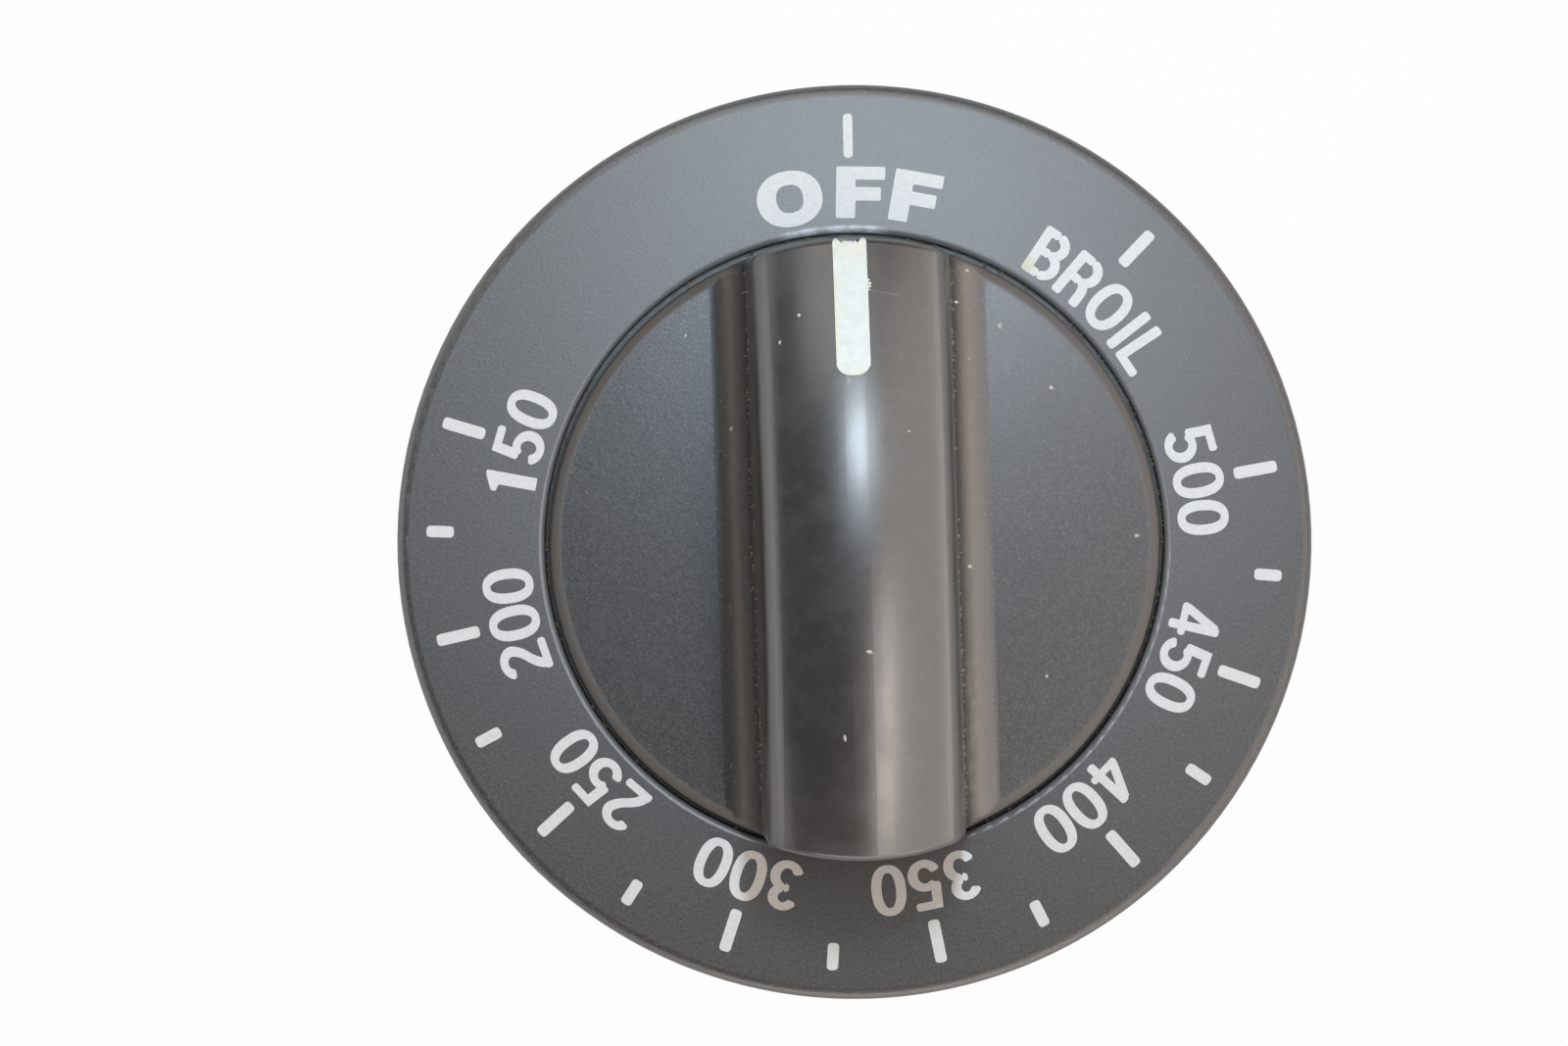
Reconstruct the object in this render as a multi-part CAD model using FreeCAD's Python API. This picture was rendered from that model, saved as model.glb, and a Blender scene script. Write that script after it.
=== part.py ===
import FreeCAD, Part
import math
import os

# Oven control knob: a moulded grip with a crowned finger bar sits in a dial skirt.
# The skirt turns on the grip's hub for calibration and is clamped by two rear screws.
# Frame: origin on the turning axis in the plane of the rear rim, +Z out of the front,
# +Y towards the pointer, millimetres and degrees.

# Dial skirt
SKIRT_DIAMETER = 73.7
SKIRT_HEIGHT = 8.0
DIAL_THICKNESS = 2.0
RIM_WALL = 2.4
RIM_DRAFT = 1.5
RIM_EDGE_RADIUS = 1.0
POCKET_DIAMETER = 49.6
POCKET_EDGE_RADIUS = 0.5
POCKET_WALL = 2.4
WEB_THICKNESS = 1.8

# Grip disc and finger bar
SEAM_GAP = 0.4
DISC_RISE = 0.8
DISC_THICKNESS = 2.8
DISC_SEAT_GAP = 0.1
BAR_WIDTH = 16.6
BAR_HEIGHT = 18.2
BAR_SIDE_DRAFT = 3.5
BAR_END_DRAFT = 2.0
CROWN_LENGTH_RADIUS = 58.0
CROWN_CROSS_RADIUS = 13.0
BAR_TOP_RADIUS = 2.6
BAR_ROOT_RADIUS = 2.9
GRIP_EDGE_RADIUS = 0.75
GRIP_WALL = 2.2
RIB_THICKNESS = 1.6
RIB_SETBACK = 1.0

# Pointer groove and its filling
POINTER_WIDTH = 2.75
POINTER_FLOOR_WIDTH = 2.0
POINTER_DEPTH = 0.6
POINTER_START = 13.3
POINTER_CORNER_RADIUS = 1.1
END_NOTCH_WIDTH = 1.3
END_NOTCH_DEPTH = 0.4
FILL_RECESS = 0.08
FILL_CLEARANCE = 0.03

# Hub and shaft socket
SHAFT_DIAMETER = 6.35
SHAFT_FLAT_HEIGHT = 4.76
SOCKET_CLEARANCE = 0.08
SOCKET_DEPTH = 13.5
SOCKET_ROOF = 1.6
SOCKET_LEAD_IN = 0.6
HUB_DIAMETER = 12.4
HUB_RECESS = 0.9
HUB_RUNNING_CLEARANCE = 0.08
HUB_NOTCH_WIDTH = 0.8
HUB_NOTCH_DEPTH = 0.5

# Shaft spring
SPRING_WIDTH = 4.0
SPRING_THICKNESS = 0.45
SPRING_BOW = 0.5
SPRING_BEND_RADIUS = 0.1
SPRING_INNER_LENGTH = 11.0
SPRING_OUTER_LENGTH = 2.6
SPRING_CLEARANCE = 0.05
SPRING_TIP_GAP = 0.3
SPRING_HUB_WALL = 1.7

# Clamp screws and their bosses
SCREW_PITCH_RADIUS = 16.0
SCREW_DIAMETER = 2.9
SCREW_LENGTH = 3.6
SCREW_POINT = 0.4
SCREW_FLANGE_DIAMETER = 8.4
SCREW_FLANGE_THICKNESS = 0.7
SCREW_HEAD_DIAMETER = 5.6
SCREW_HEAD_HEIGHT = 1.9
SCREW_HEAD_CHAMFER = 0.5
SCREW_RECESS_WIDTH = 0.7
SCREW_RECESS_LENGTH = 3.0
SCREW_RECESS_DEPTH = 1.1
SCREW_CLEARANCE = 0.05
SCREW_TIP_GAP = 0.2
CLAMP_GAP = 0.1
BOSS_DIAMETER = 5.4
BOSS_SHORTFALL = 0.3

# Calibration travel and its scale
CALIBRATION_HALF_ANGLE = 30.0
SLOT_CLEARANCE = 0.35
SCALE_STEPS_EACH_WAY = 5
SCALE_MARK_WIDTH = 0.5
SCALE_MARK_LENGTH = 2.2
SCALE_MARK_HEIGHT = 0.3
SCALE_BORE_GAP = 1.2

# Heights and radii worked out from the sizes above
Vector = FreeCAD.Vector
ORIGIN = Vector(0, 0, 0)
X_AXIS = Vector(1, 0, 0)
Z_AXIS = Vector(0, 0, 1)
skirt_radius = SKIRT_DIAMETER / 2
pocket_radius = POCKET_DIAMETER / 2
disc_radius = pocket_radius - SEAM_GAP
disc_face_z = SKIRT_HEIGHT + DISC_RISE
disc_under_z = disc_face_z - DISC_THICKNESS
web_front_z = disc_under_z - DISC_SEAT_GAP
web_back_z = web_front_z - WEB_THICKNESS
crown_z = disc_face_z + BAR_HEIGHT
crown_axis = Vector(0, 0, crown_z - CROWN_LENGTH_RADIUS)
hub_radius = HUB_DIAMETER / 2
bore_radius = hub_radius + HUB_RUNNING_CLEARANCE
socket_radius = SHAFT_DIAMETER / 2 + SOCKET_CLEARANCE
socket_flat_y = -(SHAFT_FLAT_HEIGHT - SHAFT_DIAMETER / 2 + SOCKET_CLEARANCE)
socket_top_z = HUB_RECESS + SOCKET_DEPTH
bearing_z = web_back_z - CLAMP_GAP
screw_tip_z = bearing_z + SCREW_LENGTH
screw_sides = (-1, 1)
past_part = SKIRT_DIAMETER

# Depths of the spring's faces below the axis, from the shaft's flat outwards
leaf_front_y = socket_flat_y - SPRING_BOW
leaf_back_y = leaf_front_y - SPRING_THICKNESS
pocket_floor_y = leaf_back_y - SPRING_CLEARANCE
hub_flat_y = pocket_floor_y - SPRING_HUB_WALL
leg_front_y = hub_flat_y - SPRING_CLEARANCE
leg_back_y = leg_front_y - SPRING_THICKNESS


def tangent(degrees):
    return math.tan(math.radians(degrees))


def line(start, end):
    return Part.LineSegment(start, end).toShape()


def arc(start, middle, end):
    return Part.Arc(start, middle, end).toShape()


def face_of(edges):
    return Part.Face(Part.Wire(Part.__sortEdges__(edges)))


def polygon_face(points):
    return Part.Face(Part.makePolygon(points + points[:1]))


def turned(profile):
    # Solid of revolution about Z from (radius, height) pairs.
    face = polygon_face([Vector(radius, 0, height) for radius, height in profile])
    return face.revolve(ORIGIN, Z_AXIS, 360)


def cylinder(radius, z_low, z_high, x=0.0):
    return Part.makeCylinder(radius, z_high - z_low, Vector(x, 0, z_low))


def block(half_width, y_low, y_high, z_low, z_high):
    corner = Vector(-half_width, y_low, z_low)
    return Part.makeBox(2 * half_width, y_high - y_low, z_high - z_low, corner)


def along_y(face):
    face.translate(Vector(0, -past_part, 0))
    return face.extrude(Vector(0, 2 * past_part, 0))


def round_edges(solid, radius, chosen):
    edges = []
    for edge in solid.Edges:
        if chosen(edge, solid.ancestorsOfType(edge, Part.Face)):
            edges.append(edge)
    return solid.makeFillet(radius, edges)


def on_level(edge, height):
    box = edge.BoundBox
    return abs(box.ZMin - height) < 1e-6 and abs(box.ZMax - height) < 1e-6


def bar_half_width(height):
    return BAR_WIDTH / 2 - (height - disc_face_z) * tangent(BAR_SIDE_DRAFT)


def end_radius(height):
    return disc_radius - (height - disc_under_z) * tangent(BAR_END_DRAFT)


def grip_section():
    # Cross-section of disc and bar, with hollow root curves tangent to both.
    draft = math.radians(BAR_SIDE_DRAFT)
    root_x = BAR_WIDTH / 2 + BAR_ROOT_RADIUS * (1 - math.sin(draft)) / math.cos(draft)
    root_z = disc_face_z + BAR_ROOT_RADIUS

    def on_root(angle):
        x = root_x + BAR_ROOT_RADIUS * math.cos(angle)
        return x, root_z + BAR_ROOT_RADIUS * math.sin(angle)

    root_end = math.pi + draft
    root_middle = (root_end + 1.5 * math.pi) / 2
    over_z = crown_z + BAR_TOP_RADIUS
    outline = [(past_part, disc_under_z), (past_part, disc_face_z), (root_x, disc_face_z),
               on_root(root_middle), on_root(root_end), (bar_half_width(over_z), over_z)]
    right = [Vector(x, 0, z) for x, z in outline]
    left = [Vector(-x, 0, z) for x, z in outline]
    edges = [line(left[0], right[0]), line(left[5], right[5])]
    for side in (left, right):
        edges.append(line(side[0], side[1]))
        edges.append(line(side[1], side[2]))
        edges.append(arc(side[2], side[3], side[4]))
        edges.append(line(side[4], side[5]))
    return face_of(edges)


def crown_body(inset):
    # Everything under the top of the bar: a cross arch swept along the lengthwise arc.
    top = crown_z - inset
    radius = CROWN_CROSS_RADIUS - inset
    half = BAR_WIDTH / 2 - inset
    shoulder = top - radius + math.sqrt(radius ** 2 - half ** 2)
    floor = crown_axis.z + CROWN_LENGTH_RADIUS / 10
    corners = [Vector(half, 0, shoulder), Vector(past_part, 0, shoulder), Vector(past_part, 0, floor),
               Vector(-past_part, 0, floor), Vector(-past_part, 0, shoulder), Vector(-half, 0, shoulder)]
    edges = [arc(corners[5], Vector(0, 0, top), corners[0])]
    for start, end in zip(corners, corners[1:]):
        edges.append(line(start, end))
    face = face_of(edges)
    half_sweep = 60
    face.rotate(crown_axis, X_AXIS, -half_sweep)
    return face.revolve(crown_axis, X_AXIS, 2 * half_sweep)


def end_body(inset, low):
    # Drafted round envelope shared by the disc and both ends of the bar.
    high = crown_z + BAR_TOP_RADIUS
    return turned([(0, low), (end_radius(low) - inset, low), (end_radius(high) - inset, high), (0, high)])


def grip_shell():
    solid = along_y(grip_section()).common(end_body(0, disc_under_z)).common(crown_body(0))

    def is_long_top_edge(edge, faces):
        kinds = {type(face.Surface) for face in faces}
        return kinds == {Part.Toroid, Part.Plane}

    def is_outer_edge(edge, faces):
        on_cone = any(isinstance(face.Surface, Part.Cone) for face in faces)
        return on_cone and len(faces) == 2 and not on_level(edge, disc_under_z)

    solid = round_edges(solid, BAR_TOP_RADIUS, is_long_top_edge)
    return round_edges(solid, GRIP_EDGE_RADIUS, is_outer_edge)


def bar_hollow():
    low = disc_under_z - GRIP_WALL
    low_half = bar_half_width(low) - GRIP_WALL
    high_half = bar_half_width(crown_z) - GRIP_WALL
    face = polygon_face([Vector(-low_half, 0, low), Vector(low_half, 0, low),
                         Vector(high_half, 0, crown_z), Vector(-high_half, 0, crown_z)])
    return along_y(face).common(end_body(GRIP_WALL, low)).common(crown_body(GRIP_WALL))


def along_crest(half_top, half_floor, top, floor, start_y, end_y):
    # Trapezoid carried along the crest of the bar from start_y to end_y.
    face = polygon_face([Vector(-half_top, 0, top), Vector(half_top, 0, top),
                         Vector(half_floor, 0, floor), Vector(-half_floor, 0, floor)])
    start = math.degrees(math.asin(start_y / CROWN_LENGTH_RADIUS))
    end = math.degrees(math.asin(end_y / CROWN_LENGTH_RADIUS))
    face.rotate(crown_axis, X_AXIS, -start)
    return face.revolve(crown_axis, -X_AXIS, end - start)


def pointer_half_width(depth, clearance):
    flare = (POINTER_WIDTH - POINTER_FLOOR_WIDTH) / 2
    return POINTER_WIDTH / 2 - flare * depth / POINTER_DEPTH - clearance


def pointer_plan(clearance):
    # Outline of the pointer seen from the front: open at the bar's end, inner corners rounded.
    half = POINTER_WIDTH / 2 - clearance
    radius = POINTER_CORNER_RADIUS
    low = POINTER_START + clearance
    high = disc_radius + POINTER_WIDTH
    slack = radius * (1 - math.sqrt(0.5))
    edges = [line(Vector(-half, high, 0), Vector(half, high, 0)),
             line(Vector(-half + radius, low, 0), Vector(half - radius, low, 0))]
    for side in (-1, 1):
        edges.append(line(Vector(side * half, high, 0), Vector(side * half, low + radius, 0)))
        edges.append(arc(Vector(side * half, low + radius, 0), Vector(side * (half - slack), low + slack, 0),
                         Vector(side * (half - radius), low, 0)))
    return face_of(edges).extrude(Vector(0, 0, crown_z + POINTER_DEPTH))


def pointer_body(depth, rise, clearance):
    solid = along_crest(pointer_half_width(-rise, clearance), pointer_half_width(depth, clearance),
                        crown_z + rise, crown_z - depth,
                        POINTER_START - POINTER_WIDTH, disc_radius + POINTER_WIDTH)
    return solid.common(pointer_plan(clearance))


def end_notch():
    # Narrow groove down the bar's end below the pointer, parallel to the drafted end.
    reach = end_radius(disc_under_z)
    face = polygon_face([Vector(-END_NOTCH_WIDTH / 2, reach - END_NOTCH_DEPTH, disc_under_z),
                         Vector(END_NOTCH_WIDTH / 2, reach - END_NOTCH_DEPTH, disc_under_z),
                         Vector(END_NOTCH_WIDTH, reach + END_NOTCH_DEPTH, disc_under_z),
                         Vector(-END_NOTCH_WIDTH, reach + END_NOTCH_DEPTH, disc_under_z)])
    height = crown_z - disc_under_z
    return face.extrude(Vector(0, -height * tangent(BAR_END_DRAFT), height))


def pointer_fill():
    solid = pointer_body(POINTER_DEPTH - FILL_CLEARANCE, -FILL_RECESS, FILL_CLEARANCE)
    return solid.common(grip_shell()).cut(end_notch())


def shaft_socket():
    low = HUB_RECESS - SOCKET_LEAD_IN
    bore = cylinder(socket_radius, low, socket_top_z)
    lead_in = turned([(0, low), (socket_radius + 2 * SOCKET_LEAD_IN, low),
                      (socket_radius, HUB_RECESS + SOCKET_LEAD_IN), (0, HUB_RECESS + SOCKET_LEAD_IN)])
    flat = block(hub_radius, -hub_radius, socket_flat_y, HUB_RECESS + SOCKET_LEAD_IN, socket_top_z)
    return bore.cut(flat).fuse(lead_in)


def spring_pocket():
    half = SPRING_WIDTH / 2 + SPRING_CLEARANCE
    low = HUB_RECESS - SPRING_THICKNESS
    inner_top = HUB_RECESS + SPRING_INNER_LENGTH + SPRING_TIP_GAP
    outer_top = HUB_RECESS + SPRING_OUTER_LENGTH + SPRING_TIP_GAP
    inner = block(half, pocket_floor_y, 0, low, inner_top)
    outer = block(half, -hub_radius - SPRING_THICKNESS, hub_flat_y, low, outer_top)
    return inner.fuse(outer)


def hub_notch():
    top = HUB_RECESS + HUB_NOTCH_DEPTH
    return block(HUB_NOTCH_WIDTH / 2, socket_radius, hub_radius + HUB_NOTCH_WIDTH, 0, top)


def knob_grip():
    shell = grip_shell()
    rib = block(RIB_THICKNESS / 2, -disc_radius, disc_radius, disc_under_z + RIB_SETBACK, crown_z)
    solid = shell.cut(bar_hollow()).fuse(rib.common(shell))
    solid = solid.fuse(cylinder(hub_radius, HUB_RECESS, socket_top_z + SOCKET_ROOF))
    boss_low = web_back_z + BOSS_SHORTFALL
    for side in screw_sides:
        x = side * SCREW_PITCH_RADIUS
        solid = solid.fuse(cylinder(BOSS_DIAMETER / 2, boss_low, disc_under_z, x))
    for side in screw_sides:
        x = side * SCREW_PITCH_RADIUS
        hole_radius = SCREW_DIAMETER / 2 + SCREW_CLEARANCE
        solid = solid.cut(cylinder(hole_radius, web_back_z, screw_tip_z + SCREW_TIP_GAP, x))
    solid = solid.cut(shaft_socket()).cut(spring_pocket()).cut(hub_notch())
    return solid.cut(pointer_body(POINTER_DEPTH, POINTER_DEPTH, 0)).cut(end_notch()).removeSplitter()


def arc_slot(side):
    # Curved slot that lets one screw boss swing through the calibration travel.
    half = BOSS_DIAMETER / 2 + SLOT_CLEARANCE
    low = web_back_z - WEB_THICKNESS
    high = web_front_z + WEB_THICKNESS
    inner = SCREW_PITCH_RADIUS - half
    outer = SCREW_PITCH_RADIUS + half
    face = polygon_face([Vector(inner, 0, low), Vector(outer, 0, low), Vector(outer, 0, high),
                         Vector(inner, 0, high)])
    face.rotate(ORIGIN, Z_AXIS, -CALIBRATION_HALF_ANGLE)
    slot = face.revolve(ORIGIN, Z_AXIS, 2 * CALIBRATION_HALF_ANGLE)
    for end in (-1, 1):
        cap = cylinder(half, low, high, SCREW_PITCH_RADIUS)
        cap.rotate(ORIGIN, Z_AXIS, end * CALIBRATION_HALF_ANGLE)
        slot = slot.fuse(cap)
    slot.rotate(ORIGIN, Z_AXIS, 0 if side > 0 else 180)
    return slot


def scale_mark(step):
    inner = bore_radius + SCALE_BORE_GAP
    mark = block(SCALE_MARK_WIDTH / 2, inner, inner + SCALE_MARK_LENGTH,
                 web_back_z - SCALE_MARK_HEIGHT, web_back_z)
    mark.rotate(ORIGIN, Z_AXIS, step * CALIBRATION_HALF_ANGLE / SCALE_STEPS_EACH_WAY)
    return mark


def dial_skirt():
    under_z = SKIRT_HEIGHT - DIAL_THICKNESS
    lean = tangent(RIM_DRAFT)
    rim_inside = skirt_radius - RIM_WALL
    pocket_outside = pocket_radius + POCKET_WALL
    solid = turned([
        (skirt_radius, 0), (skirt_radius - SKIRT_HEIGHT * lean, SKIRT_HEIGHT),
        (pocket_radius, SKIRT_HEIGHT), (pocket_radius, web_front_z),
        (bore_radius, web_front_z), (bore_radius, web_back_z),
        (pocket_outside, web_back_z), (pocket_outside, under_z),
        (rim_inside - under_z * lean, under_z), (rim_inside, 0),
    ])

    def is_rim_edge(edge, faces):
        return on_level(edge, SKIRT_HEIGHT) and edge.BoundBox.XMax > (skirt_radius + pocket_radius) / 2

    def is_pocket_edge(edge, faces):
        return on_level(edge, SKIRT_HEIGHT) and edge.BoundBox.XMax < pocket_radius + POCKET_EDGE_RADIUS

    solid = round_edges(solid, POCKET_EDGE_RADIUS, is_pocket_edge)
    solid = round_edges(solid, RIM_EDGE_RADIUS, is_rim_edge)
    for side in screw_sides:
        solid = solid.cut(arc_slot(side))
    for step in range(-SCALE_STEPS_EACH_WAY, SCALE_STEPS_EACH_WAY + 1):
        solid = solid.fuse(scale_mark(step))
    return solid.removeSplitter()


def shaft_spring():
    # Folded leaf: a bowed inner leg on the shaft's flat, a bend under the hub, an outer leg.
    fold_top = HUB_RECESS - SPRING_CLEARANCE
    fold_low = fold_top - SPRING_THICKNESS
    leg_top = HUB_RECESS + SPRING_OUTER_LENGTH
    leaf_low = HUB_RECESS + SPRING_BEND_RADIUS
    leaf_top = HUB_RECESS + SPRING_INNER_LENGTH
    leaf_middle = (leaf_low + leaf_top) / 2

    def at(y, z):
        return Vector(-SPRING_WIDTH / 2, y, z)

    def bend(y, z, radius, turn):
        # Quarter round in the corner (y, z); turn gives the side of the first leg.
        slack = radius * (1 - math.sqrt(0.5))
        first = at(y, z + radius)
        middle = at(y + turn * slack, z + slack)
        last = at(y + turn * radius, z)
        return first, middle, last

    inside = SPRING_BEND_RADIUS
    outside = SPRING_BEND_RADIUS + SPRING_THICKNESS
    outer_back = bend(leg_back_y, fold_low, outside, 1)
    outer_front = bend(leg_front_y, fold_top, inside, 1)
    inner_front = bend(leaf_front_y, fold_low, outside, -1)
    inner_back = bend(leaf_back_y, fold_top, inside, -1)
    front_low = at(leaf_front_y, leaf_low)
    front_top = at(leaf_front_y, leaf_top)
    back_low = at(leaf_back_y, leaf_low)
    back_top = at(leaf_back_y, leaf_top)
    edges = [
        line(at(leg_back_y, leg_top), outer_back[0]), arc(*outer_back),
        line(outer_back[2], inner_front[2]), arc(*inner_front),
        line(inner_front[0], front_low),
        arc(front_low, at(socket_flat_y, leaf_middle), front_top),
        line(front_top, back_top),
        arc(back_top, at(leaf_back_y + SPRING_BOW, leaf_middle), back_low),
        line(back_low, inner_back[0]), arc(*inner_back),
        line(inner_back[2], outer_front[2]), arc(*outer_front),
        line(outer_front[0], at(leg_front_y, leg_top)),
        line(at(leg_front_y, leg_top), at(leg_back_y, leg_top)),
    ]
    return face_of(edges).extrude(Vector(SPRING_WIDTH, 0, 0))


def clamp_screw(x):
    radius = SCREW_DIAMETER / 2
    flange_radius = SCREW_FLANGE_DIAMETER / 2
    head_radius = SCREW_HEAD_DIAMETER / 2
    flange_z = bearing_z - SCREW_FLANGE_THICKNESS
    head_z = bearing_z - SCREW_HEAD_HEIGHT
    solid = turned([(0, screw_tip_z), (radius - SCREW_POINT, screw_tip_z), (radius, screw_tip_z - SCREW_POINT),
                    (radius, bearing_z), (flange_radius, bearing_z), (flange_radius, flange_z),
                    (head_radius, flange_z), (head_radius, head_z + SCREW_HEAD_CHAMFER),
                    (head_radius - SCREW_HEAD_CHAMFER, head_z), (0, head_z)])
    recess = block(SCREW_RECESS_WIDTH / 2, -SCREW_RECESS_LENGTH / 2, SCREW_RECESS_LENGTH / 2,
                   head_z - SCREW_RECESS_DEPTH, head_z + SCREW_RECESS_DEPTH)
    for angle in (45, 135):
        slot = recess.copy()
        slot.rotate(ORIGIN, Z_AXIS, angle)
        solid = solid.cut(slot)
    solid.translate(Vector(x, 0, 0))
    return solid


def clamp_screws():
    return Part.makeCompound([clamp_screw(side * SCREW_PITCH_RADIUS) for side in screw_sides])


os.makedirs("parts", exist_ok=True)
nodes = {
    "knob_grip": knob_grip(),
    "pointer_fill": pointer_fill(),
    "dial_skirt": dial_skirt(),
    "shaft_spring": shaft_spring(),
    "clamp_screws": clamp_screws(),
}
for name, shape in nodes.items():
    print(name, shape.isValid(), len(shape.Solids), round(shape.Volume, 2))
    shape.exportStep(f"parts/{name}.step")
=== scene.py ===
import math
import random

import bmesh
import bpy
from mathutils import Matrix, Vector, noise
from mathutils.bvhtree import BVHTree
from mathutils.geometry import delaunay_2d_cdt


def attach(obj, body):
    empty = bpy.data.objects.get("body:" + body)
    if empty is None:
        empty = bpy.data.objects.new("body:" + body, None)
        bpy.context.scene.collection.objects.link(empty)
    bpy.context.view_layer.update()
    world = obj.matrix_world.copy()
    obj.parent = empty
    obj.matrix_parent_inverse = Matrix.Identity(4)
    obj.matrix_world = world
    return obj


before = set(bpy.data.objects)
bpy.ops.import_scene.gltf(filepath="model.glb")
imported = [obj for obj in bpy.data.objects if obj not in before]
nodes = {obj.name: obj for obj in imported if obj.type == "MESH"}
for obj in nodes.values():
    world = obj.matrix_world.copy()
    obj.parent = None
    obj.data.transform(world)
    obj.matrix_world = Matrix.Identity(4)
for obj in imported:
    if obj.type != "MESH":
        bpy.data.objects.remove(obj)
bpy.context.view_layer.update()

MM = 0.001

# Heights and radii shared with the CAD, in millimetres
DIAL_Z = 8.0
DISC_Z = 8.8
POCKET_RADIUS = 24.8

# Largest angle, in degrees, over which each CAD solid is shaded as one smooth surface
SMOOTH_ANGLES = {"knob_grip": 38, "dial_skirt": 30, "shaft_spring": 30, "clamp_screws": 30}

# Camera, in millimetres and degrees
CAMERA_PLACE = Vector((-6.0, 11.0, 318.0))
CAMERA_TARGET = Vector((-5.602, 1.847, 8.0))
CAMERA_ROLL = 1.75
CAMERA_LENS = 89.07
CAMERA_SENSOR = 36.0
CAMERA_NEAREST = 10.0

# Colours, linear
GRIP_COLOUR = (0.035, 0.034, 0.034)
EDGE_HIGHLIGHT_COLOUR = (0.115, 0.112, 0.108)
DISC_COLOUR = (0.023, 0.025, 0.030)
# Painted shade for the left root, and a brown film for the right root that is partly dust, partly painted
# reflection
ROOT_SHADE_COLOUR = (0.028, 0.024, 0.020)
FILM_AND_REFLECTION_COLOUR = (0.085, 0.073, 0.062)
DIAL_COLOUR = (0.042, 0.042, 0.045)
# Colour of the painted glints on the dial
GLINT_COLOUR = (0.36, 0.38, 0.42)
SEAM_COLOUR = (0.010, 0.010, 0.006)
EDGE_COLOUR = (0.062, 0.055, 0.049)
PAINTED_GLINT_COLOUR = (0.58, 0.62, 0.68)
INK_COLOUR = (0.93, 0.95, 0.97)
POINTER_COLOUR = (0.77, 0.80, 0.78)
YELLOWED = (0.80, 0.74, 0.46)
DUST_COLOUR = (0.20, 0.18, 0.145)
LINT_COLOUR = (0.62, 0.59, 0.55)
GRIME_COLOUR = (0.16, 0.14, 0.085)
SPRING_COLOUR = (0.30, 0.31, 0.33)
SCREW_COLOUR = (0.56, 0.56, 0.53)
FLOOR_COLOURS = ((0.90, 0.90, 0.89), (0.94, 0.94, 0.93))
WHITE = (1.0, 1.0, 1.0)

# Roughness of the steel pieces
SPRING_ROUGHNESS = 0.32
SCREW_ROUGHNESS = 0.28

# Where marks lie on the grip, in millimetres: from, to and, for a band, how soft its ends are
DISC_TO_BAR = (DISC_Z + 0.1, DISC_Z + 0.6)
DISC_EDGE = (23.3, 23.8)
DISC_EDGE_DEPTH = (DISC_Z + 0.02, DISC_Z + 0.1)
# Where the disc's rounding is painted near black as painted shade
SHADED_ROUNDING = (24.1, 24.3)
SHADED_ROUNDING_DEPTH = (DISC_Z, DISC_Z + 0.1)
POINTER_SIDE = (-2.0, 6.0)
LEFT_HALF = (-1.0, 1.0)
ROOT_SIDES = (8.2, 10.1, 0.9)
ROOT_DEPTH = (DISC_Z + 0.6, DISC_Z + 3.2)
ROOT_NEAR = (8.4, 10.4)
ROOT_STAIN_X = (8.3, 9.3, 0.4)
ROOT_STAIN_Y = (-21.5, -9.0, 2.0)
WALL_SIDES = (7.3, 7.4)
WALL_HEIGHTS = (13.0, 21.6, 0.8)
BAR_TOP = (19.5, 21.5)
EDGE_HIGHLIGHT_SIDES = (5.9, 7.1, 0.5)
DRIP_X = (-0.55, -0.35, 0.2)
DRIP_Y = (12.7, 13.2, 0.4)
SCRATCH_X = (1.6, 3.6, 0.3)
SCRATCH_Y = (20.0, 20.08, 0.05)
SCRATCH_SLOPE = 0.2

# Where marks lie on the dial, its ink and the pointer, in the same way
# Band of painted highlight on the pocket's lip, and the patch of painted glint at the pointer
LIP_HIGHLIGHT = (POCKET_RADIUS + 0.02, POCKET_RADIUS + 0.42, 0.08)
GLINT_PATCH = (POCKET_RADIUS + 0.1, POCKET_RADIUS + 0.6, 0.15)
GLINT_PATCH_X = (-4.8, 3.0, 0.8)
GLINT_PATCH_Y = (0.0, 1.0)
POCKET_WALL = (POCKET_RADIUS - 0.06, POCKET_RADIUS + 0.02)
POCKET_DARK_FROM = (22.0, 23.0)
INK_STAIN_X = (12.6, 14.8, 0.5)
INK_STAIN_Y = (20.9, 22.6, 0.5)
AGED_LEFT = (-1.25, -0.7)
AGED_INNER = (13.3, 14.6)
AGED_OUTER = (21.8, 23.2)
SMEARED_X = (1.22, 1.4)
SMEARED_Y = (22.0, 24.0)

# Sockets of the mix node for colours and for plain values
COLOUR_A = 6
COLOUR_B = 7
COLOUR_RESULT = 2
VALUE_A = 2
VALUE_B = 3
VALUE_RESULT = 0


# Node helpers
def new_material(name):
    material = bpy.data.materials.new(name)
    material.use_nodes = True
    tree = material.node_tree
    return material, tree, tree.nodes["Principled BSDF"]


def add_node(tree, kind, inputs=None, **settings):
    made = tree.nodes.new(kind)
    for key, value in settings.items():
        setattr(made, key, value)
    for key, value in (inputs or {}).items():
        if isinstance(value, bpy.types.NodeSocket):
            tree.links.new(value, made.inputs[key])
        else:
            made.inputs[key].default_value = value
    return made


def millimetres(tree):
    place = add_node(tree, "ShaderNodeTexCoord").outputs["Object"]
    scaled = add_node(tree, "ShaderNodeVectorMath", {0: place, "Scale": 1 / MM}, operation="SCALE")
    return scaled.outputs["Vector"]


def stretched(tree, place, factors):
    scaled = add_node(tree, "ShaderNodeVectorMath", {0: place, 1: factors}, operation="MULTIPLY")
    return scaled.outputs["Vector"]


def axes(tree, place):
    split = add_node(tree, "ShaderNodeSeparateXYZ", {"Vector": place})
    return split.outputs["X"], split.outputs["Y"], split.outputs["Z"]


def math_node(tree, operation, *values):
    inputs = {index: value for index, value in enumerate(values)}
    return add_node(tree, "ShaderNodeMath", inputs, operation=operation).outputs["Value"]


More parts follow.
